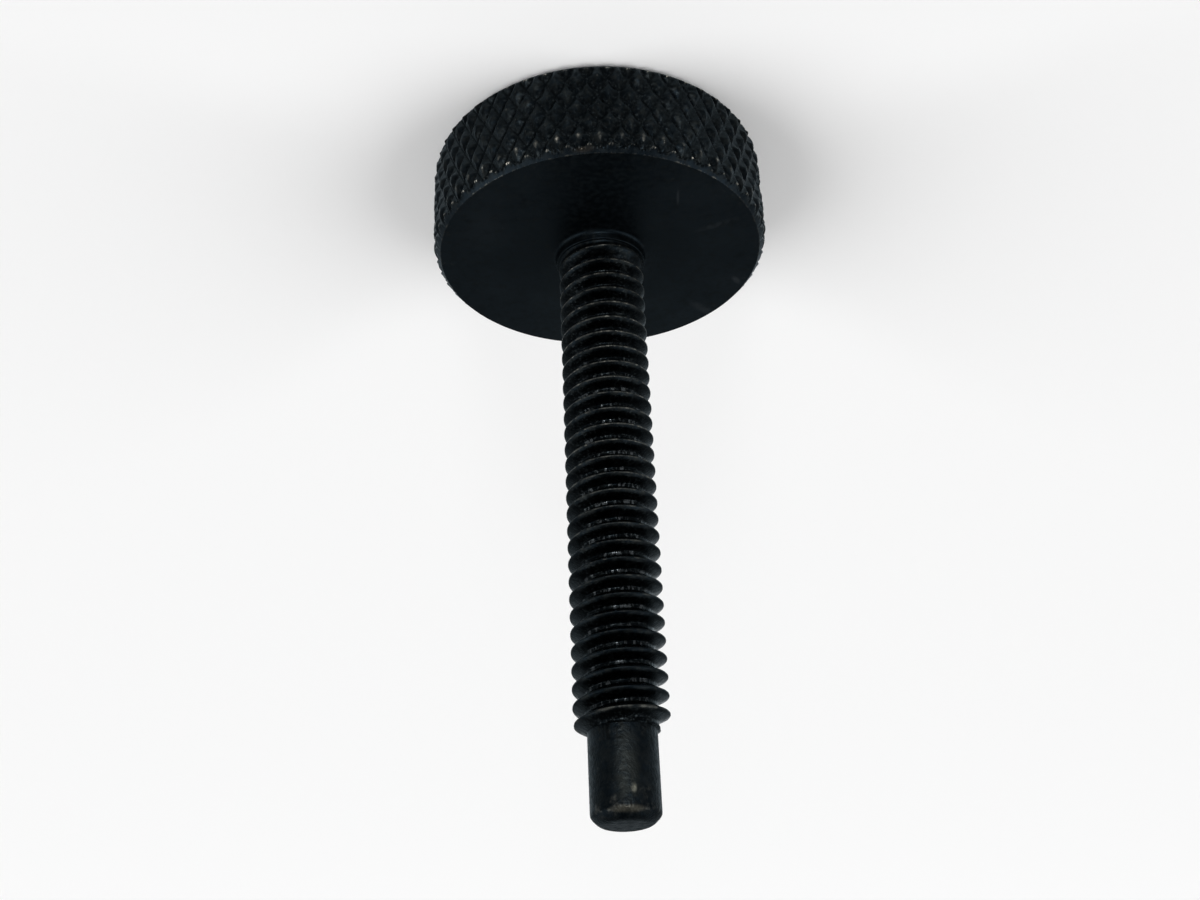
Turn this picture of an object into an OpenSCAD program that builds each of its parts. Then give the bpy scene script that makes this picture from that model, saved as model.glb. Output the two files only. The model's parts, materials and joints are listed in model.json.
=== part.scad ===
// Thumb screw with a wide diamond-knurled head, a long threaded shank and a plain dog point.
// It is turned from one bar, so it is one solid. It stands on the flat outer face of its head:
// that face lies on Z = 0, the axis is the Z axis, and the tip points up.

/* [Head] */
// Diameter over the crests of the knurl
head_d = 25.4; // [24.4:0.1:26.4]
// Height of the head, from its outer face to its underside
head_h = 7.94; // [7.7:0.01:8.2]
// Width of the chamfer on both rims, measured inwards from the crests
chamfer_w = 0.55; // [0.55:0.01:0.6]
// Angle of the chamfer on both rims, measured from the screw's axis
chamfer_angle = 42; // [38:1:44]

/* [Knurl] */
// Number of diamonds in one row round the head
knurl_columns = 52; // [48:1:56]
// Number of rows of whole diamonds between the chamfers
knurl_rows = 5; // [5]
// Depth of the grooves below the crests
knurl_depth = 0.35; // [0.3:0.01:0.38]
// Part of each diamond that is worn flat at its tip
crest_flat = 0.3; // [0.2:0.05:0.35]

/* [Shank] */
// Major diameter of the thread, 1/4-20 UNC
thread_d = 6.35; // [6:0.05:6.4]
// Length from the underside of the head to the end of the thread
thread_l = 37.5; // [20:0.1:60]
// Angle of the chamfer at the end of the thread, measured from the screw's axis
thread_end_angle = 60; // [45:5:60]
// Diameter of the plain collar under the head
collar_d = 6.7; // [6.7:0.1:8.2]
// Length of the plain collar
collar_l = 0.75; // [0.5:0.05:2]
// Radius of the fillet between the collar and the head
root_fillet = 0.3; // [0.1:0.05:0.4]

/* [Dog point] */
// Diameter of the plain dog point
dog_d = 4.57; // [3:0.01:4.9]
// Length of the dog point past the end of the thread
dog_l = 6; // [2:0.1:12]
// Chamfer on the edge of the dog point
dog_chamfer = 0.6; // [0.2:0.1:1]

/* [Hidden] */
$fn = 96;
steel_black = [0.13, 0.15, 0.16];

crest_r = head_d / 2;
root_r = crest_r - knurl_depth;
face_r = crest_r - chamfer_w;
chamfer_slope = tan(chamfer_angle);

// The knurl is a lattice of diamonds. Half a diamond is one step round and one step up. The
// rows divide the head's height evenly, which puts the grooves at 30 degrees to the axis.
step_deg = 180 / knurl_columns;
step_h = head_h / (knurl_rows + 1);
first_tip_z = step_h;
last_row = knurl_rows - 1;

// The turned blank meets the knurled band a little way up the chamfer. It runs a hair inside
// the band there, so the two cross in clean circles.
blank_inset = 0.02;
band_z = 0.12;
blank_overlap = 0.05;
core_r = root_r - 1;

// Radius of the chamfer at a height z above the face it starts from.
function chamfer_r(z) = face_r + chamfer_slope * z;

// The chamfer cuts the outermost diamonds. Each cut is given in steps below the last row of
// tips: on the ridge that runs down from a tip, in the grooves, and on the ridge between two
// tips, which rises again towards a diamond that the chamfer has taken away.
ridge_fall = knurl_depth / (1 - crest_flat);
cut_ridge = (chamfer_r(first_tip_z) - crest_r - crest_flat * ridge_fall)
    / (chamfer_slope * step_h - ridge_fall);
cut_groove = (first_tip_z - (root_r - face_r) / chamfer_slope) / step_h;
cut_between = (chamfer_r(first_tip_z) - root_r) / (chamfer_slope * step_h + ridge_fall);

// A point of the band at a number of steps round, a radius and a height.
function at(col, r, z) = [r * cos(col * step_deg), r * sin(col * step_deg), z];

// A cut edge of the band has four points for each column: ridge, groove, between, groove.
edge_cols = [0, 1 - cut_groove, 1, 1 + cut_groove];
edge_cuts = [cut_ridge, cut_groove, cut_between, cut_groove];
edge_n = 4 * knurl_columns;
function edge_col(k) = 2 * floor(k / 4) + edge_cols[k % 4];
function edge_z(k) = first_tip_z - edge_cuts[k % 4] * step_h;
function row_z(row) = first_tip_z + row * step_h;
function shift(row) = row % 2;

low_ring = [for (k = [0:edge_n - 1]) at(edge_col(k), chamfer_r(band_z), band_z)];
low_edge = [for (k = [0:edge_n - 1]) at(edge_col(k), chamfer_r(edge_z(k)), edge_z(k))];
// The flat on each tip has four corners: left, right, lower and upper.
tips = [for (row = [0:last_row], p = [0:knurl_columns - 1], q = [0:3])
    at(2 * p + shift(row) + [-1, 1, 0, 0][q] * crest_flat, crest_r,
        row_z(row) + [0, 0, -1, 1][q] * crest_flat * step_h)];
// The grooves cross at one point between each two tips of a row.
crossings = [for (row = [0:last_row], p = [0:knurl_columns - 1])
    at(2 * p + 1 + shift(row), root_r, row_z(row))];
top_edge = [for (p = low_edge) [p.x, p.y, head_h - p.z]];
top_ring = [for (p = low_ring) [p.x, p.y, head_h - p.z]];

edge_start = edge_n;
tip_start = edge_start + edge_n;
crossing_start = tip_start + len(tips);
top_edge_start = crossing_start + len(crossings);
top_ring_start = top_edge_start + edge_n;

// The index of each kind of point. Numbers past the end of a row go round to its start.
function wrap(i, n) = (i + n) % n;
function ring(start, k) = start + wrap(k, edge_n);
function tip(row, p, q) = tip_start + 4 * (row * knurl_columns + p) + q;
function crossing(row, p) = crossing_start + row * knurl_columns + wrap(p, knurl_columns);
function right_of(row, p) = crossing(row, p);
function left_of(row, p) = crossing(row, p - 1);
// The crossing straight above or below a tip lies in the next row.
function next_row(row, other, p) = crossing(other, p - 1 + shift(row));

// Faces are listed counter-clockwise as seen from outside.
function flat_faces(row, p) = let (l = tip(row, p, 0), r = tip(row, p, 1),
        d = tip(row, p, 2), u = tip(row, p, 3))
    [[d, r, u], [d, u, l]];
function lower_faces(row, p) = let (l = tip(row, p, 0), r = tip(row, p, 1), d = tip(row, p, 2),
        left = left_of(row, p), right = right_of(row, p))
    row > 0
    ? let (below = next_row(row, row - 1, p))
        [[d, below, right], [d, right, r], [l, left, below], [l, below, d]]
    : let (e = ring(edge_start, 4 * p), gr = ring(edge_start, 4 * p + 1),
            gl = ring(edge_start, 4 * p - 1))
        [[d, e, gr], [d, gr, right], [d, right, r], [d, l, left], [d, left, gl], [d, gl, e]];
function upper_faces(row, p) = let (l = tip(row, p, 0), r = tip(row, p, 1), u = tip(row, p, 3),
        left = left_of(row, p), right = right_of(row, p))
    row < last_row
    ? let (above = next_row(row, row + 1, p))
        [[r, right, above], [r, above, u], [u, above, left], [u, left, l]]
    : let (e = ring(top_edge_start, 4 * p), gr = ring(top_edge_start, 4 * p + 1),
            gl = ring(top_edge_start, 4 * p - 1))
        [[u, r, right], [u, right, gr], [u, gr, e], [u, e, gl], [u, gl, left], [u, left, l]];
// What is left of the diamonds that the chamfers cut away
function cut_faces(p) = let (low = crossing(0, p), top = crossing(last_row, p), k = 4 * p)
    [[low, ring(edge_start, k + 1), ring(edge_start, k + 2)],
     [low, ring(edge_start, k + 2), ring(edge_start, k + 3)],
     [top, ring(top_edge_start, k + 3), ring(top_edge_start, k + 2)],
     [top, ring(top_edge_start, k + 2), ring(top_edge_start, k + 1)]];
function strip_faces(below, above) = [for (k = [0:edge_n - 1], half = [0, 1])
    half == 0 ? [ring(below, k), ring(below, k + 1), ring(above, k + 1)]
              : [ring(below, k), ring(above, k + 1), ring(above, k)]];

band_faces = concat(
    [for (row = [0:last_row], p = [0:knurl_columns - 1])
        each concat(flat_faces(row, p), lower_faces(row, p), upper_faces(row, p))],
    [for (p = [0:knurl_columns - 1]) each cut_faces(p)],
    strip_faces(0, edge_start),
    strip_faces(top_edge_start, top_ring_start),
    [[for (k = [edge_n - 1:-1:0]) ring(0, k)]],
    [[for (k = [0:edge_n - 1]) ring(top_ring_start, k)]]);

// Outline of the turned blank, from the head's outer face to the tip
shank_r = thread_d / 2;
collar_r = collar_d / 2;
dog_r = dog_d / 2;
thread_end = head_h + thread_l;
tip_z = thread_end + dog_l;
fillet_steps = 6;
blank_r = face_r - blank_inset;
buried_r = blank_r + chamfer_slope * (band_z + blank_overlap);

head_outline = [[0, 0], [blank_r, 0], [buried_r, band_z + blank_overlap],
    [core_r, band_z + blank_overlap], [core_r, head_h - band_z - blank_overlap],
    [buried_r, head_h - band_z - blank_overlap], [blank_r, head_h]];
fillet_outline = [for (i = [0:fillet_steps]) let (a = 90 * i / fillet_steps)
    [collar_r + root_fillet * (1 - sin(a)), head_h + root_fillet * (1 - cos(a))]];
shank_outline = [[collar_r, head_h + collar_l], [shank_r, head_h + collar_l],
    [shank_r, thread_end - (shank_r - dog_r) / tan(thread_end_angle)], [dog_r, thread_end],
    [dog_r, tip_z - dog_chamfer], [dog_r - dog_chamfer, tip_z], [0, tip_z]];

module turned_blank() {
    rotate_extrude()
        polygon(concat(head_outline, fillet_outline, shank_outline));
}

module knurled_band() {
    polyhedron(
        points = concat(low_ring, low_edge, tips, crossings, top_edge, top_ring),
        faces = [for (f = band_faces) [for (i = [len(f) - 1:-1:0]) f[i]]],
        convexity = 4);
}

module thumb_screw() {
    color(steel_black) {
        turned_blank();
        knurled_band();
    }
}

thumb_screw();
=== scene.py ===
# %% [markdown]
# # A knurled thumb screw in black-oxide steel
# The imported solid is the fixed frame: it says where the head, the thread and the dog point are.
# This file dresses it. The thread is too fine for the solid, and the solid's knurl is plain, so
# both are built here as real geometry. One material gives the screw its dark, worn finish.

# %% Load the frame
import json
import math
from collections import namedtuple

import bmesh
import bpy
from mathutils import Matrix, Vector


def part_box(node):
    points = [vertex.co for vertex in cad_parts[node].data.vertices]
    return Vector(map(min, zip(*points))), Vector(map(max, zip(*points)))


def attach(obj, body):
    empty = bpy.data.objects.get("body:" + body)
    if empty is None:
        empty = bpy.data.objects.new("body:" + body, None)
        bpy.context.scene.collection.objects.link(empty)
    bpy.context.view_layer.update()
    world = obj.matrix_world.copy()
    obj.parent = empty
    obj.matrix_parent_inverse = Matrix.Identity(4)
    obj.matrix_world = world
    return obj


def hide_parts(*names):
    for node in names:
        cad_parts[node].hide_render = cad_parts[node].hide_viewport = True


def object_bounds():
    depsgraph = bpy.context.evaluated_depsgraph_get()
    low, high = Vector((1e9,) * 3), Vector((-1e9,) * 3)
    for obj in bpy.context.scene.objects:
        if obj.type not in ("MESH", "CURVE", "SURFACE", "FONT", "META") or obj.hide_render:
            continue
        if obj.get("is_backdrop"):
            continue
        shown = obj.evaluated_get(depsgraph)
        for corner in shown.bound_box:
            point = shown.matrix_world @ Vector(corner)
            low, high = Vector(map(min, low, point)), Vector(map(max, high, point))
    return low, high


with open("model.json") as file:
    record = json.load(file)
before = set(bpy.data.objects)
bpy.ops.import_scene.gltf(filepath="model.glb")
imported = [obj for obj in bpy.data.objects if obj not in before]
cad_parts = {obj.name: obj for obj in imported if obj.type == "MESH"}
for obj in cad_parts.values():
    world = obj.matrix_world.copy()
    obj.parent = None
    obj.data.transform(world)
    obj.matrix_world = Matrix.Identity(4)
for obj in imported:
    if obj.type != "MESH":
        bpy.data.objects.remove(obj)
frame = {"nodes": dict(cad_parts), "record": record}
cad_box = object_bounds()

print("nodes:", sorted(frame["nodes"]))

# %% [markdown]
# ## Sizes
# Everything that the solid already knows is read from it: its box gives the width over the
# knurl and the full length, and its mounts give the thread, the dog point and the underside of
# the head. The sizes could be typed in again, but then the two could drift apart. Only what the
# solid leaves out, such as the pitch, is stated here, in millimetres.

# %% Sizes of the screw
MM = 0.001
NODE = "thumb_screw"
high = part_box(NODE)[1]
mounts = {mount["name"]: mount for mount in frame["record"]["mounts"]}

crest_r = high.x
tip_z = high.z
head_h = mounts["head_seat"]["pos_m"][2]
thread_r = mounts["thread"]["dims"]["r_mm"] * MM
dog_r = mounts["dog_point"]["dims"]["r_mm"] * MM
thread_mid = mounts["thread"]["pos_m"][2]
thread_half = mounts["thread"]["dims"]["length_mm"] * MM / 2
end_slope = math.tan(math.radians(60))
collar_top = thread_mid - thread_half
thread_end = thread_mid + thread_half + (thread_r - dog_r) / end_slope

pitch = 1.27 * MM
first_crest = 1.19 * MM
collar_r = 3.35 * MM
face_r = 12.15 * MM
dog_chamfer = 0.6 * MM
print("head %.2f mm high, thread %.2f mm long" % (head_h / MM, (thread_end - head_h) / MM))

# %% [markdown]
# ## Camera
# The camera looks down on the standing screw at about 28 degrees, from close by, so the head
# spreads and the shank comes towards the viewer. A long lens from far away would make the sides
# of the shank parallel and lose that. The camera is rolled half a turn, which puts the head at
# the top of the picture.

# %% Place the camera
eye = Vector((2.67, -91.73, 74.32)) * MM
target = Vector((0.66, 0.01, 24.71)) * MM
camera_roll = math.radians(177.54)
camera_lens = 44.07

camera_data = bpy.data.cameras.new("camera")
camera_data.lens = camera_lens
camera_data.sensor_width = 36
camera_data.clip_start = 0.005
camera = bpy.data.objects.new("camera", camera_data)
bpy.context.scene.collection.objects.link(camera)
aim = (target - eye).to_track_quat("-Z", "Y").to_matrix().to_4x4()
camera.matrix_world = Matrix.Translation(eye) @ aim @ Matrix.Rotation(camera_roll, 4, "Z")
bpy.context.scene.camera = camera
print("camera is %.1f mm from its target" % ((target - eye).length / MM))

# %% [markdown]
# ## Formulas in node trees
# Geometry Nodes and materials both work with fields: values that a tree of nodes works out
# again at every point. A formula could be wired up node by node, but then it can't be read. So
# a small class stands for one output of a node here, and arithmetic on it adds the Math nodes.

# %% Fields and nodes
class Field:
    """One output of a node. Sums, products and so on of fields add Math nodes to their tree."""

    def __init__(self, tree, socket):
        self.tree = tree
        self.socket = socket

    def __add__(self, other):
        return maths("ADD", self, other)

    def __sub__(self, other):
        return maths("SUBTRACT", self, other)

    def __rsub__(self, other):
        return maths("SUBTRACT", other, self)

    def __mul__(self, other):
        return maths("MULTIPLY", self, other)

    def __truediv__(self, other):
        return maths("DIVIDE", self, other)


def add_node(tree, kind, inputs=(), **settings):
    """Adds a node with these settings, and puts values or links on its inputs."""
    node = tree.nodes.new(kind)
    for key, value in settings.items():
        setattr(node, key, value)
    for key, value in dict(inputs).items():
        if isinstance(value, Field):
            tree.links.new(value.socket, node.inputs[key])
        else:
            node.inputs[key].default_value = value
    return node


def add_field(tree, kind, inputs=(), output=0, **settings):
    """Adds a node and returns one of its outputs as a field."""
    return Field(tree, add_node(tree, kind, inputs, **settings).outputs[output])


def maths(operation, *values):
    """Adds one Math node. Its values are fields and plain numbers, with at least one field."""
    tree = next(value.tree for value in values if isinstance(value, Field))
    return add_field(tree, "ShaderNodeMath", enumerate(values), operation=operation)

# %% [markdown]
# ## The finish
# Black oxide is a thin, almost black skin on steel. It has a low, dark shine, and it wears
# through to grey-brown and then to bare metal on every crest and edge. Painted images could show
# that, but a material of noise and formulas stays sharp at any distance. Three values that the
# geometry carries on its points say where things happen: `wear` is high on crests and edges,
# `groove` is high where the knurl and the thread were formed, and `root` lies along the root of
# the thread.

# %% Helpers for the finish
POINT_VALUES = ("wear", "groove", "root")


def noise(place, scale, detail=3.0, roughness=0.55):
    """Noise in the screw's own coordinates. The scale is in blobs per millimetre."""
    return add_field(place.tree, "ShaderNodeTexNoise", {"Vector": place, "Scale": scale / MM,
        "Detail": detail, "Roughness": roughness}, "Fac")


def step_up(value, start, end):
    """Turns a value into 0 before start and 1 past end, with a smooth change between them."""
    return add_field(value.tree, "ShaderNodeMapRange", {"Value": value, "From Min": start,
        "From Max": end}, "Result", interpolation_type="SMOOTHSTEP")


def mix_colour(factor, a, b):
    """Blends from colour a to colour b. Each is a field or three numbers."""
    node = add_node(factor.tree, "ShaderNodeMix", {"Factor": factor}, data_type="RGBA")
    for key, value in (("A", a), ("B", b)):
        socket = next(x for x in node.inputs if x.name == key and x.type == "RGBA")
        if isinstance(value, Field):
            factor.tree.links.new(value.socket, socket)
        else:
            socket.default_value = (*value, 1)
    return Field(factor.tree, next(x for x in node.outputs if x.type == "RGBA"))

# %% [markdown]
# ### The oxide
# The skin is blue-black, and cloudy where the bath worked unevenly. Where the knurl and the
# thread were formed it is darker, partly dirt and partly painted shade, with some paler grit.
# One flat colour would look like paint, so each of these is a layer of noise that is laid over
# the last one.

# %% The oxide
OXIDE = (0.0038, 0.0058, 0.0077)
PALE_OXIDE = (0.0080, 0.0114, 0.0142)
MOTTLED_OXIDE = (0.0165, 0.0185, 0.0180)
SHADE_AND_DIRT = (0.0010, 0.0015, 0.0019)
GRIT = (0.0220, 0.0270, 0.0290)


def oxide_colour(place, mottle, groove):
    """Blue-black and a little uneven. Where the steel was formed: dirt, painted shade and grit."""
    cloud = step_up(noise(place, 0.22), 0.35, 0.68)
    skin = mix_colour(cloud, OXIDE, PALE_OXIDE)
    formed = step_up(groove, 0.02, 0.1)
    skin = mix_colour(mottle * (formed * 0.4 + 0.35), skin, MOTTLED_OXIDE)
    # Painted shade, with dirt: the grooves of the knurl and the flanks and roots of the thread are
    # darkened.
    skin = mix_colour(groove * 0.85, skin, SHADE_AND_DIRT)
    grit = step_up(noise(place, 4.5, 2, 0.7), 0.52, 0.66) * groove
    skin = mix_colour(grit * 0.7, skin, GRIT)
    dirt = step_up(noise(place, 1.3, 3), 0.48, 0.60) * formed
    return mix_colour(dirt * 0.55, skin, SHADE_AND_DIRT)

# %% [markdown]
# ### Marks of handling, painted shade and painted highlights
# The underside of the head has scuffs and a paler patch of painted sheen, and there is painted
# shade round the foot of the shank and on its collar. The dog point is darkened all over, with a
# painted highlight down its near side and on the near rim of its end, where it is also worn.
# Each mark is a soft ellipsoid in space that changes the colour of the surface inside it, so no
# picture has to be wrapped round the screw. A noise breaks up the marks, as the weave of a
# wiping cloth would.

# %% Handling marks, painted shade and painted highlights
Mark = namedtuple("Mark", "centre half_sizes turn_deg strength colour")
SCUFF_AND_SHEEN = (0.042, 0.047, 0.051)
SHADE_AND_OIL = (0.0012, 0.0018, 0.0020)
head_mm = head_h / MM
HANDLING_MARKS_AND_PAINTED_LIGHT = [
    # Scuffs and a scratch on the underside, a paler patch there that is painted sheen, and a
    # brown spot on the chamfer.
    Mark((-8.7, -3.6, head_mm), (2.2, 0.45, 1), 25, 0.5, SCUFF_AND_SHEEN),
    Mark((-10.7, 3.6, head_mm), (0.8, 0.35, 1), -60, 0.9, SCUFF_AND_SHEEN),
    Mark((-8.4, 7.6, head_mm), (2.4, 0.6, 1), -45, 0.5, SCUFF_AND_SHEEN),
    Mark((-5.6, -7.0, head_mm), (0.14, 1.2, 1), 2, 0.8, SCUFF_AND_SHEEN),
    Mark((9.0, -4.0, head_mm), (2.2, 3.0, 1), 0, 0.10, SCUFF_AND_SHEEN),
    Mark((1.2, -12.3, 7.7), (1.2, 0.6, 0.3), 0, 0.55, (0.028, 0.022, 0.015)),
    # The tone of the whole underside, with painted shade round the foot of the shank and on its
    # collar.
    Mark((0, 0, head_mm), (40, 40, 0.5), 0, 0.3, (0.012, 0.0185, 0.025)),
    Mark((0, 0, head_mm), (9, 9, 0.6), 0, 0.45, SHADE_AND_OIL),
    Mark((0, 0, head_mm + 0.4), (4.6, 4.6, 1.2), 0, 0.85, SHADE_AND_OIL),
    # The dog point darkened all over, a painted highlight down its near side, the near rim of its
    # end partly worn and partly a painted highlight, and a light spot.
    Mark((0, 0, 49.0), (4.2, 4.2, 5.4), 0, 0.8, SHADE_AND_OIL),
    Mark((-0.2, -2.4, 48.4), (1.2, 1.2, 3.4), 0, 0.2, (0.050, 0.054, 0.048)),
    Mark((-0.1, -2.2, 50.88), (1.9, 0.6, 0.32), 0, 0.6, (0.060, 0.058, 0.047)),
    Mark((-0.5, -2.3, 49.6), (0.25, 0.5, 0.42), 0, 0.6, (0.160, 0.160, 0.130)),
]


def spot(place, mark):
    """1 in the middle of a mark and 0 outside its half sizes, which are in millimetres."""
    local = add_field(place.tree, "ShaderNodeMapping", {"Vector": place,
        "Location": [x * MM for x in mark.centre], "Rotation": (0, 0, math.radians(mark.turn_deg)),
        "Scale": [x * MM for x in mark.half_sizes]}, vector_type="TEXTURE")
    away = add_field(place.tree, "ShaderNodeVectorMath", {0: local}, "Value", operation="LENGTH")
    return step_up(away, 1, 0.2)


def add_marks(skin, place):
    """Puts the marks on the oxide, one after another."""
    cloth = step_up(noise(place, 1.3, 4), 0.3, 0.55)
    for mark in HANDLING_MARKS_AND_PAINTED_LIGHT:
        skin = mix_colour(spot(place, mark) * mark.strength * cloth, skin, mark.colour)
    return skin


print("%d marks of handling" % len(HANDLING_MARKS_AND_PAINTED_LIGHT))

# %% [markdown]
# ### Wear
# Handling rubs the oxide thin on every edge, in patches, and takes it off where it rubs most.
# The tool also tore the steel a little in the root of the thread, and those tears are lighter
# streaks that are also painted glints. The wear could be found from the curve of the surface,
# but then it would also touch edges that nothing rubs, so it comes from the values on the
# points, and noise only breaks it up.

# %% Worn places, and torn steel with painted glints
THIN_OXIDE = (0.066, 0.067, 0.061)
BARE_STEEL = (0.34, 0.32, 0.28)
FLECK = (0.26, 0.26, 0.23)
# Torn steel in the root of the thread, light enough to be a painted glint.
TORN_STEEL_GLINT = (0.050, 0.056, 0.060)


def add_wear(skin, place, wear):
    """Rubs the oxide thin, then bare, in patches, with bright flecks where it is most worn."""
    rubbed = wear * (noise(place, 1.9, 5, 0.65) * 2.4 - 0.45)
    skin = mix_colour(step_up(rubbed, 0.25, 0.62) * 0.8, skin, THIN_OXIDE)
    skin = mix_colour(step_up(rubbed, 0.58, 0.95), skin, BARE_STEEL)
    flecks = step_up(noise(place, 3.2, 2), 0.60, 0.70) * step_up(wear, 0.45, 0.8)
    return mix_colour(flecks, skin, FLECK)

# %% [markdown]
# ### Grain
# The steel isn't quite smooth: it has a fine grain, coarser where it was formed, and the dog
# point is pitted. The pits are a few hundredths of a millimetre deep. They could be modelled,
# but they are too shallow to change the outline, so a bump in the light is enough.

# %% Grain and pits
GRAIN_HEIGHT = 0.014 * MM
GRAIN_STRENGTH = 0.2
FORMED_GRAIN = 14
POINT_PITS = 30


def relief(place, upright, groove):
    """The grain as a bump. Formed steel and the dog point have so many times its height."""
    along = add_field(place.tree, "ShaderNodeSeparateXYZ", {0: place}, "Z")
    on_point = maths("GREATER_THAN", along, thread_end)
    coarse = noise(upright, 3.2, 4, 0.7) * groove * FORMED_GRAIN
    pits = noise(place, 3.6, 3, 0.6) * on_point * POINT_PITS
    height = noise(place, 9, 3) + coarse + pits
    return add_field(place.tree, "ShaderNodeBump", {"Height": height, "Strength": GRAIN_STRENGTH,
        "Distance": GRAIN_HEIGHT})


print("pits: never over %.3f mm deep" % (POINT_PITS * GRAIN_HEIGHT * GRAIN_STRENGTH / MM))

# %% [markdown]
# ### The whole finish
# The layers lie over each other: first the oxide, then the marks, which include painted shade
# and painted highlights, then wear, and last the torn steel in the roots with its painted
# glints. A mirror-like metal under a coat could also give the low shine, but one metal shader
# with a dark colour and a dark edge tint looks the same and is simpler to read.

# %% Black oxide steel
EDGE_TINT = (0.74, 0.81, 0.85, 1)
ROUGHNESS = 0.42
UPRIGHT = (1, 1, 0.3)


def black_oxide():
    """The finish of the screw, from its layers."""
    material = bpy.data.materials.new("black_oxide_steel")
    material.use_nodes = True
    tree = material.node_tree
    place = add_field(tree, "ShaderNodeTexCoord", output="Object")
    wear, groove, root = (add_field(tree, "ShaderNodeAttribute", output="Fac", attribute_name=name)
        for name in POINT_VALUES)
    upright = add_field(tree, "ShaderNodeMapping", {"Vector": place, "Scale": UPRIGHT})
    mottle = step_up(noise(place, 2.4, 4), 0.4, 0.65)
    torn_glint = step_up(noise(upright, 3.4, 2), 0.54, 0.62) * root

    skin = oxide_colour(place, mottle, groove)
    skin = add_marks(skin, place)
    skin = add_wear(skin, place, wear)
    # Painted glints: lighter streaks of torn steel in the root of the thread.
    skin = mix_colour(torn_glint, skin, TORN_STEEL_GLINT)
    # Mottled places are duller than the rest, and torn or oily ones are shinier.
    dull = mottle * 0.12 + ROUGHNESS - torn_glint * 0.15 - groove * 0.14
    bump = relief(place, upright, groove)

    finish = tree.nodes["Principled BSDF"]
    finish.inputs["Metallic"].default_value = 1
    finish.inputs["Specular Tint"].default_value = EDGE_TINT
    for key, value in (("Base Color", skin), ("Roughness", dull), ("Normal", bump)):
        tree.links.new(value.socket, finish.inputs[key])
    print("%s: %d nodes" % (material.name, len(tree.nodes)))
    return material


steel = black_oxide()

# %% [markdown]
# ## Surfaces from formulas
# The knurl and the thread both follow a rule, so Geometry Nodes makes them. Each is a flat grid
# that a formula turns into a surface round the axis. The numbers that a user may want to change
# are named inputs of the tree.

# %% Helpers for Geometry Nodes
WELD_DISTANCE = 0.002 * MM


def new_tree(name, values):
    """A Geometry Nodes tree, and its inputs as fields. Whole numbers make integer inputs."""
    tree = bpy.data.node_groups.new(name, "GeometryNodeTree")
    tree.is_modifier = True
    tree.interface.new_socket("Geometry", in_out="OUTPUT", socket_type="NodeSocketGeometry")
    for label, value in values.items():
        kind = "NodeSocketInt" if isinstance(value, int) else "NodeSocketFloat"
        tree.interface.new_socket(label, in_out="INPUT", socket_type=kind).default_value = value
    entry = tree.nodes.new("NodeGroupInput")
    return tree, {label: Field(tree, entry.outputs[label]) for label in values}


def grid_node(tree, steps_x, steps_y):
    """A flat grid with so many steps each way, and its two coordinates from 0 to 1."""
    mesh = add_field(tree, "GeometryNodeMeshGrid", {"Size X": 1, "Size Y": 1,
        "Vertices X": steps_x + 1, "Vertices Y": steps_y + 1}, "Mesh")
    place = add_field(tree, "GeometryNodeInputPosition")
    split = add_node(tree, "ShaderNodeSeparateXYZ", {0: place})
    u, v = (Field(tree, split.outputs[axis]) + 0.5 for axis in "XY")
    return mesh, u, v


def round_place(radius, angle, height):
    """The place with this radius, angle and height round the Z axis."""
    return add_field(radius.tree, "ShaderNodeCombineXYZ", {"X": radius * maths("COSINE", angle),
        "Y": radius * maths("SINE", angle), "Z": height})


def store(mesh, name, value):
    """Keeps a field on the points, under a name that the material can read."""
    return add_field(mesh.tree, "GeometryNodeStoreNamedAttribute", {"Geometry": mesh, "Name": name,
        "Value": value}, data_type="FLOAT", domain="POINT")


def close_tree(mesh, places, material):
    """Moves the grid to its places, welds the seam, sets the material and ends the tree."""
    tree = mesh.tree
    moved = add_field(tree, "GeometryNodeSetPosition", {"Geometry": mesh, "Position": places})
    welded = add_field(tree, "GeometryNodeMergeByDistance", {"Geometry": moved,
        "Distance": WELD_DISTANCE})
    real = add_field(tree, "GeometryNodeRealizeInstances", {"Geometry": welded})
    painted = add_field(tree, "GeometryNodeSetMaterial", {"Geometry": real, "Material": material})
    add_node(tree, "NodeGroupOutput", {0: painted})


def run_tree(tree, values):
    """Sets the inputs of a tree, runs it and returns the result as a plain mesh."""
    holder = bpy.data.objects.new(tree.name + "_holder", bpy.data.meshes.new(tree.name))
    bpy.context.scene.collection.objects.link(holder)
    modifier = holder.modifiers.new("nodes", "NODES")
    modifier.node_group = tree
    for item in tree.interface.items_tree:
        if item.in_out == "INPUT":
            modifier[item.identifier] = values[item.name]
    seen = holder.evaluated_get(bpy.context.evaluated_depsgraph_get())
    mesh = bpy.data.meshes.new_from_object(seen)
    mesh.name = tree.name
    bpy.data.objects.remove(holder)
    print("%s: %d points, %d faces" % (tree.name, len(mesh.vertices), len(mesh.polygons)))
    return mesh

# %% [markdown]
# ## The knurl
# A knurling wheel presses two families of slanting grooves into the rim, and what stays
# between them is a field of small pyramids. A bump map would leave the outline smooth, and a
# copied pyramid would show that each is the same. On the unrolled rim the real thing is a
# simple rule: the height at a point is its distance to the nearest groove. So a flat grid is
# given that height, dented a little by noise, cut back by the two chamfers, and rolled up.
# Fingers and benches rub the tips, those near the underside most, and the chamfer's edge.

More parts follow.
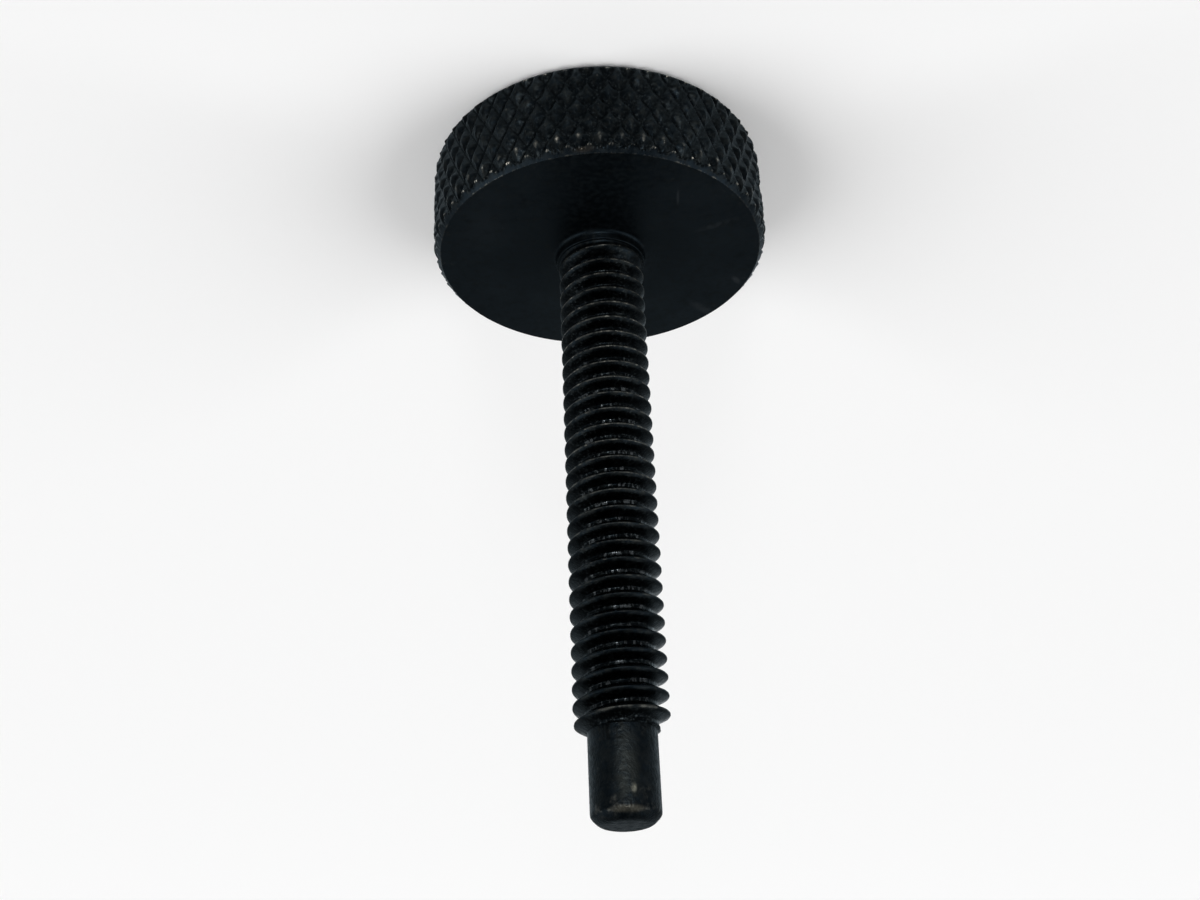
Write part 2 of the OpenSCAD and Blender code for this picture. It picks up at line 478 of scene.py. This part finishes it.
# %% Sizes of the knurl
KNURL_COLUMNS = 52
KNURL_FINE = 8
knurl_values = {
    "Columns": KNURL_COLUMNS,
    "Rows": 5,
    "Fine": KNURL_FINE,
    "Crest Radius": crest_r,
    "Depth": 0.35 * MM,
    "Head Height": head_h,
    "Face Radius": face_r,
    "Chamfer Slope": math.tan(math.radians(42)),
    "Crest Flat": 0.3,
    "Unevenness": 0.7 * MM,
    "Dent Start": 0.48,
    "Edge Band": 0.10 * MM,
    "Worn Band": 2.0 * MM,
    "Seed": 7,
}
print("knurl: %d columns, %.2f mm apart" % (KNURL_COLUMNS, math.tau * crest_r / KNURL_COLUMNS / MM))

# %% Dents and wear of the knurl
DENTS_PER_MM = 0.9
EDGE_RUB = 2.3
TIP_RUB = 1.7
TIP_START = 0.7
UPPER_RUB = 0.6
CHAMFER_MARGIN = 0.05 * MM
GROOVE_WIDTH = 1.3


def dents(given, angle, height):
    """Dents about the size of a pyramid. The noise is taken in space, so it meets itself."""
    place = round_place(given["Crest Radius"], angle, height)
    lumps = add_field(place.tree, "ShaderNodeTexNoise", {"Vector": place, "W": given["Seed"],
        "Scale": DENTS_PER_MM / MM, "Detail": 4, "Roughness": 0.7}, "Fac", noise_dimensions="4D")
    return maths("MAXIMUM", lumps - given["Dent Start"], 0)


def knurl_wear(given, gap, knurled, cone, from_top):
    """Two values on the points: wear on the chamfer's edge and the tips, groove between them."""
    edge = maths("ABSOLUTE", knurled - cone)
    edge_wear = (1 - edge / given["Edge Band"]) * (gap * EDGE_RUB)
    by_edge = maths("MAXIMUM", 1 - from_top / given["Worn Band"], 0)
    in_band = maths("LESS_THAN", knurled, cone + CHAMFER_MARGIN)
    tip_wear = (gap - TIP_START + by_edge * UPPER_RUB) * TIP_RUB * in_band
    wear = maths("MAXIMUM", maths("MAXIMUM", edge_wear, tip_wear), 0)
    groove = (1 - maths("MINIMUM", gap * GROOVE_WIDTH, 1)) * 0.9 + 0.1
    return wear, groove * in_band

# %% Build the knurl
def knurl_nodes(tree, given):
    """The formula of the knurl: gap is 0 in a groove and 1 on a tip."""
    bands = given["Rows"] + 1
    mesh, u, v = grid_node(tree, given["Columns"] * 2 * given["Fine"], bands * given["Fine"])
    angle = u * math.tau
    height = v * given["Head Height"]

    across = u * given["Columns"]
    rise = v * bands * 0.5
    gaps = [maths("PINGPONG", slanted, 0.5) for slanted in (across + rise, across - rise)]
    gap = maths("MINIMUM", *gaps) * 2
    ridge = maths("SMOOTH_MIN", gap / (1 - given["Crest Flat"]), 1, 0.1)
    dent = dents(given, angle, height) * given["Unevenness"]
    sunk = (1 - ridge) * given["Depth"] + ridge * dent
    knurled = given["Crest Radius"] - sunk

    from_top = given["Head Height"] - height
    nearest = maths("MINIMUM", height, from_top)
    cone = nearest * given["Chamfer Slope"] + given["Face Radius"]
    wear, groove = knurl_wear(given, gap, knurled, cone, from_top)
    mesh = store(store(mesh, "wear", wear), "groove", groove)
    close_tree(mesh, round_place(maths("MINIMUM", knurled, cone), angle, height), steel)


knurl_nodes(*new_tree("knurl", knurl_values))
knurl_mesh = run_tree(bpy.data.node_groups["knurl"], knurl_values)

# %% [markdown]
# ## The thread
# A thread is one ridge that winds up the shank. A profile could be swept with the Screw
# modifier, but then both of its ends would have to be cut and closed afterwards. Here a flat
# strip is wound on a helix: along the strip is the way round, and across it lies one pitch,
# from root to crest to root. The strip goes on for some turns past both ends and the formula
# stops it there, so each end closes to a plain ring. The crests are rubbed, a little less
# towards the end, and the last crest most of all. The roots carry lighter streaks of torn
# steel, which are also painted glints, but not near the head.

# %% Sizes of the thread
TURN_STEPS = 104
SPARE_TURNS = 2
thread_values = {
    "Turns": math.ceil((thread_end - head_h) / pitch) + 2 * SPARE_TURNS,
    "Steps In A Turn": TURN_STEPS,
    "Steps Across": 16,
    "Pitch": pitch,
    "Major Radius": thread_r,
    "Depth": 0.61 * pitch,
    "First Crest": head_h + first_crest,
    "Start": collar_top,
    "End": thread_end,
    "End Radius": dog_r,
    "End Slope": end_slope,
    "Run In": 0.9 * pitch,
    "Crest Flat": 0.11,
    "Flank": 0.64,
    "End Band": 0.9 * MM,
    "Fading": 20 * MM,
    "Head Zone": 25 * MM,
    "Head Blend": 3 * MM,
}
print("thread: %d turns of %.2f mm, with the spare ones" % (thread_values["Turns"], pitch / MM))

# %% Wear of the thread
END_RUB = 0.25
SHANK_RUB = 0.35
HEAD_RUB = 0.06
LAST_RUB = 0.3
NARROW_LINE = 12
WIDE_LINE = 1.3
ROOT_LEVEL = 1.7
ROOT_START = 0.95
ROOT_RISE = 20
HEAD_DULLING = 0.92


def thread_wear(given, fall, run_in, left):
    """The three values on the points: wear on crests, groove between them, painted root glints."""
    last_crest = (thread_end - head_h - first_crest) % pitch
    away = maths("ABSOLUTE", left - last_crest)
    last = maths("MAXIMUM", 1 - away / given["End Band"], 0)
    by_head = (left - given["Head Zone"]) / given["Head Blend"]
    by_head = maths("MINIMUM", maths("MAXIMUM", by_head, 0), 1)
    level = maths("MINIMUM", left / given["Fading"], 1) * SHANK_RUB + END_RUB + by_head * HEAD_RUB
    narrow = maths("MAXIMUM", NARROW_LINE - last * 20, WIDE_LINE)
    wear = maths("MAXIMUM", last * LAST_RUB + level - fall * narrow, 0)
    groove = maths("MINIMUM", fall * 4, 1) * run_in
    before_end = maths("GREATER_THAN", left, given["End Band"])
    root = (fall - ROOT_START) * ROOT_RISE * run_in * before_end
    root = root * (level * ROOT_LEVEL) * (1 - by_head * HEAD_DULLING)
    return wear, groove, maths("MAXIMUM", root, 0)

# %% Build the thread
BUNCHING = 0.6


def thread_nodes(tree, given):
    """The formula of the thread: fall is 0 on the crest and 1 in the root."""
    mesh, u, v = grid_node(tree, given["Turns"] * given["Steps In A Turn"], given["Steps Across"])
    turn = u * given["Turns"]
    angle = turn * math.tau - math.pi / 2
    # The points across lie closer together on the crest and in the root, where the profile bends.
    v = v - maths("SINE", v * (2 * math.tau)) * (BUNCHING / (2 * math.tau))
    height = (turn + (v - (0.5 + SPARE_TURNS))) * given["Pitch"] + given["First Crest"]
    height = maths("MINIMUM", maths("MAXIMUM", height, given["Start"]), given["End"])

    from_crest = maths("ABSOLUTE", v - 0.5) * 2
    fall = (from_crest - given["Crest Flat"]) / given["Flank"]
    fall = maths("SMOOTH_MIN", maths("SMOOTH_MAX", fall, 0, 0.07), 1, 0.15)
    run_in = maths("MINIMUM", (height - given["Start"]) / given["Run In"], 1)
    threaded = given["Major Radius"] - fall * run_in * given["Depth"]
    left = given["End"] - height
    cone = left * given["End Slope"] + given["End Radius"]
    for name, value in zip(POINT_VALUES, thread_wear(given, fall, run_in, left)):
        mesh = store(mesh, name, value)
    close_tree(mesh, round_place(maths("MINIMUM", threaded, cone), angle, height), steel)


thread_nodes(*new_tree("thread", thread_values))
thread_mesh = run_tree(bpy.data.node_groups["thread"], thread_values)

# %% [markdown]
# ## The plain turned surfaces
# The outer face, the underside with its collar, and the dog point are plain turning work. The
# Screw modifier or a Bevel could make them, but each ring here also carries how worn it is, so
# a short function sweeps a profile round the axis. Each edge has a small radius, because no
# real edge is perfectly sharp and a rounded one catches the light.

# %% A small lathe
def arc(centre_r, centre_z, radius, start_deg, end_deg, wear, steps=4):
    """Points of a rounded edge in the profile, as (radius, height, wear). Its middle wears most."""
    points = []
    for i in range(steps + 1):
        a = math.radians(start_deg + (end_deg - start_deg) * i / steps)
        worn = wear * math.sin(math.pi * (i + 0.5) / (steps + 1))
        points.append((centre_r + radius * math.cos(a), centre_z + radius * math.sin(a), worn))
    return points


def ring_of(bm, layer, radius, height, worn, count):
    """Points in a ring round the axis, each with its wear."""
    ring = []
    for i in range(count):
        a = math.tau * i / count
        point = bm.verts.new((radius * math.cos(a), radius * math.sin(a), height))
        point[layer] = worn
        ring.append(point)
    return ring


def join_rings(bm, inner, outer):
    """Faces between two rings. The outer ring may have several points for each inner one."""
    share = len(outer) // len(inner)
    for i in range(len(inner)):
        j = (i + 1) % len(inner)
        span = [outer[(i * share + k) % len(outer)] for k in range(share + 1)]
        bm.faces.new([inner[i]] + span + [inner[j]])


def lathe(name, profile, start_count, cap_end=False):
    """Sweeps (radius, height, wear) points round the axis. The first ring may be a finer one."""
    bm = bmesh.new()
    layer = bm.verts.layers.float.new("wear")
    rings = [ring_of(bm, layer, *profile[0], start_count)]
    for point in profile[1:]:
        rings.append(ring_of(bm, layer, *point, TURN_STEPS))
    for before, after in zip(rings, rings[1:]):
        join_rings(bm, after, before)
    if cap_end:
        bm.faces.new(rings[-1])
    mesh = bpy.data.meshes.new(name)
    bm.to_mesh(mesh)
    bm.free()
    print("%s: %d faces" % (name, len(mesh.polygons)))
    return mesh

# %% [markdown]
# ### The two sides of the head
# Both sides are flat and lie inside a chamfer. They start at the knurl's own points, so that
# they can be welded to it, and go on with fewer. The corner to the chamfer is the most worn.
# The underside goes on into a small fillet and a plain collar, where the thread starts.

# %% The two sides of the head
root_fillet = 0.3 * MM
collar_edge = 0.08 * MM
rim_count = 2 * KNURL_COLUMNS * KNURL_FINE


def flat_side(height, inner):
    """The profile of a flat side: its worn corner, and then (radius in mm, wear) further in."""
    corner = [(face_r, height, 0.55), (face_r - 0.09 * MM, height, 0.3), (11 * MM, height, 0.27)]
    return corner + [(radius * MM, height, wear) for radius, wear in inner]


outer_face = lathe("outer_face", flat_side(0, [(6, 0.25), (1, 0.25)]), rim_count, cap_end=True)

foot_r = collar_r + root_fillet
underside_profile = flat_side(head_h, [(8, 0.25), (5, 0.15)])
underside_profile += arc(foot_r, head_h + root_fillet, root_fillet, 270, 180, 0)
underside_profile += arc(collar_r - collar_edge, collar_top - collar_edge, collar_edge, 0, 90, 0.25)
underside_profile += [(thread_r, collar_top, 0)]
underside = lathe("underside", underside_profile, rim_count)

# %% [markdown]
# ### The dog point
# The dog point is the plain end that presses on the work. Its shoulder is rounded by use, and
# its end is a low dome. The wear grows towards the shoulder, which rubs most, and falls again
# over the dome.

# %% The dog point
tip_edge = 0.2 * MM
soft_edge = tip_edge * math.sqrt(0.5)
flat_r = dog_r - dog_chamfer
shoulder_z = tip_z - dog_chamfer
dome_r = 0.9 * MM
dome_run = dome_r * math.tan(math.radians(22.5))

dog_profile = [
    (dog_r, thread_end, 0.1),
    (dog_r, thread_end + 1.2 * MM, 0.26),
    (dog_r, shoulder_z - 1.6 * MM, 0.28),
    (dog_r, shoulder_z - 0.5 * MM, 0.34),
    (dog_r, shoulder_z - tip_edge, 0.4),
    (dog_r - 0.015 * MM, shoulder_z - 0.06 * MM, 0.45),
    (dog_r - 0.06 * MM, shoulder_z + 0.03 * MM, 0.45),
    (dog_r - soft_edge, shoulder_z + soft_edge, 0.3),
]
dome = arc(flat_r - dome_run, tip_z - dome_r, dome_r, 45, 90, 0, steps=6)
dog_profile += [(r, z, 0.3 - 0.04 * i) for i, (r, z, _) in enumerate(dome)]
dog_profile += [(0.5 * MM, tip_z, 0.05)]
dog_point = lathe("dog_point", dog_profile, TURN_STEPS, cap_end=True)

# %% [markdown]
# ## One piece
# The screw is one piece of steel. Its surfaces could stay separate, since they meet exactly,
# but a solid thing is better as one closed mesh, so they are welded. The test for that is
# simple: every edge of a closed mesh has exactly two faces.

# %% Weld the screw together
def weld(name, meshes):
    """Joins meshes into one object and merges the points that lie on each other."""
    bm = bmesh.new()
    layers = [bm.verts.layers.float.new(key) for key in POINT_VALUES]
    for mesh in meshes:
        part = bmesh.new()
        part.from_mesh(mesh)
        given = [part.verts.layers.float.get(key) for key in POINT_VALUES]
        made = []
        for vert in part.verts:
            new = bm.verts.new(vert.co)
            for layer, source in zip(layers, given):
                new[layer] = vert[source] if source else 0
            made.append(new)
        for face in part.faces:
            bm.faces.new([made[v.index] for v in face.verts])
        part.free()
    bmesh.ops.remove_doubles(bm, verts=bm.verts, dist=WELD_DISTANCE)
    bmesh.ops.recalc_face_normals(bm, faces=bm.faces)
    loose = sum(1 for edge in bm.edges if len(edge.link_faces) != 2)
    mesh = bpy.data.meshes.new(name)
    bm.to_mesh(mesh)
    bm.free()
    triangles = sum(len(p.vertices) - 2 for p in mesh.polygons)
    print("%s: %d triangles, %d edges that aren't closed" % (name, triangles, loose))
    piece = bpy.data.objects.new(name, mesh)
    bpy.context.scene.collection.objects.link(piece)
    return piece


SHARP_EDGE = math.radians(40)
screw = weld("knurled_thumb_screw", [outer_face, knurl_mesh, underside, thread_mesh, dog_point])
screw.data.materials.append(steel)
screw.data.shade_smooth()
screw.data.set_sharp_from_angle(angle=SHARP_EDGE)
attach(screw, "root")
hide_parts(NODE)

# %% [markdown]
# ## Floor
# The screw stands on a plain, pale sheet. A sweep that curves up behind it would hide the
# horizon, but a flat floor does that as well when the world behind it is just as pale. The
# floor has no shine at all, so it stays even when it is seen at a low angle.

# %% Pale floor
PALE = 0.93
FLOOR_HALF = 1.5


def pale_floor():
    """A wide, matt floor under the screw."""
    material = bpy.data.materials.new("pale_floor")
    material.use_nodes = True
    finish = material.node_tree.nodes["Principled BSDF"]
    finish.inputs["Base Color"].default_value = (PALE, PALE, PALE, 1)
    finish.inputs["Roughness"].default_value = 0.9
    finish.inputs["Specular IOR Level"].default_value = 0
    bm = bmesh.new()
    bmesh.ops.create_grid(bm, x_segments=1, y_segments=1, size=FLOOR_HALF)
    mesh = bpy.data.meshes.new("floor")
    bm.to_mesh(mesh)
    bm.free()
    floor = bpy.data.objects.new("floor", mesh)
    floor.data.materials.append(material)
    bpy.context.scene.collection.objects.link(floor)
    floor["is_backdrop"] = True
    print("floor: %.1f m wide" % (2 * FLOOR_HALF))


pale_floor()

# %% [markdown]
# ## Light
# Dark steel shows what is round it, so the lamps are there for their reflections. A broad, soft
# sun on each side draws a light edge down the shank, and leaves the side towards the camera
# dark. A smaller one, low in front, puts glints on what faces the camera, and a weak box behind
# lifts the back of the head. Boxes alone could do this, but a box so close leaves a bright
# patch on the floor, and a sun doesn't. Only the camera sees the world as pale as the floor.
# The screw gets less of it, which keeps the steel deep.

# %% The world
def pale_world(level, seen):
    """A plain white world of this level, which the camera alone sees at another."""
    world = bpy.data.worlds.new("world")
    bpy.context.scene.world = world
    world.use_nodes = True
    tree = world.node_tree
    by_camera = add_field(tree, "ShaderNodeLightPath", output="Is Camera Ray")
    strength = add_field(tree, "ShaderNodeMapRange", {"Value": by_camera, "To Min": level,
        "To Max": seen}, "Result")
    background = tree.nodes["Background"]
    background.inputs["Color"].default_value = (1, 1, 1, 1)
    tree.links.new(strength.socket, background.inputs["Strength"])
    print("world: level %.2f, seen at %.2f" % (level, seen))


pale_world(level=0.25, seen=PALE)

# %% The lamps
MIDDLE = Vector((0, 0, 0.025))


def aim_lamp(data, place):
    """Puts a lamp at a place, in metres, and turns it to the middle of the screw."""
    lamp = bpy.data.objects.new(data.name, data)
    bpy.context.scene.collection.objects.link(lamp)
    turn = (MIDDLE - Vector(place)).to_track_quat("-Z", "Y").to_matrix().to_4x4()
    lamp.matrix_world = Matrix.Translation(place) @ turn
    print("%s: %.2f, %.0f mm away" % (data.name, data.energy, (MIDDLE - Vector(place)).length / MM))


def soft_sky_light(name, place, strength, spread_deg):
    """A sun that shines from this side. The wider its spread, the softer its shadow."""
    data = bpy.data.lights.new(name, "SUN")
    data.energy = strength
    data.angle = math.radians(spread_deg)
    aim_lamp(data, place)


def soft_box(name, place, size, watts):
    """A lamp box with a wide, flat front."""
    data = bpy.data.lights.new(name, "AREA")
    data.shape = "RECTANGLE"
    data.size, data.size_y = size
    data.energy = watts
    aim_lamp(data, place)


# The camera is rolled half a turn, so the left of its picture is at +X.
soft_sky_light("left_light", (0.5, -0.1, 0.45), strength=1.83, spread_deg=50)
soft_sky_light("right_light", (-0.5, -0.1, 0.45), strength=1.58, spread_deg=50)
soft_sky_light("front_light", (0.02, -0.5, 0.05), strength=2.3, spread_deg=14)
soft_box("back_box", (0.05, 0.6, 0.30), size=(0.9, 0.25), watts=0.25)
bpy.context.scene.view_settings.view_transform = "Standard"

# %% [markdown]
# ## Sizes and the end
# The dressed screw is meant to stay inside the solid's box. It could be compared by eye, but
# two boxes say it exactly, so both are the last value of the script.

# %% The two boxes at the end
plain = lambda box: [[float(x) for x in corner] for corner in box]
{"cad": plain(cad_box), "visual": plain(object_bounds())}
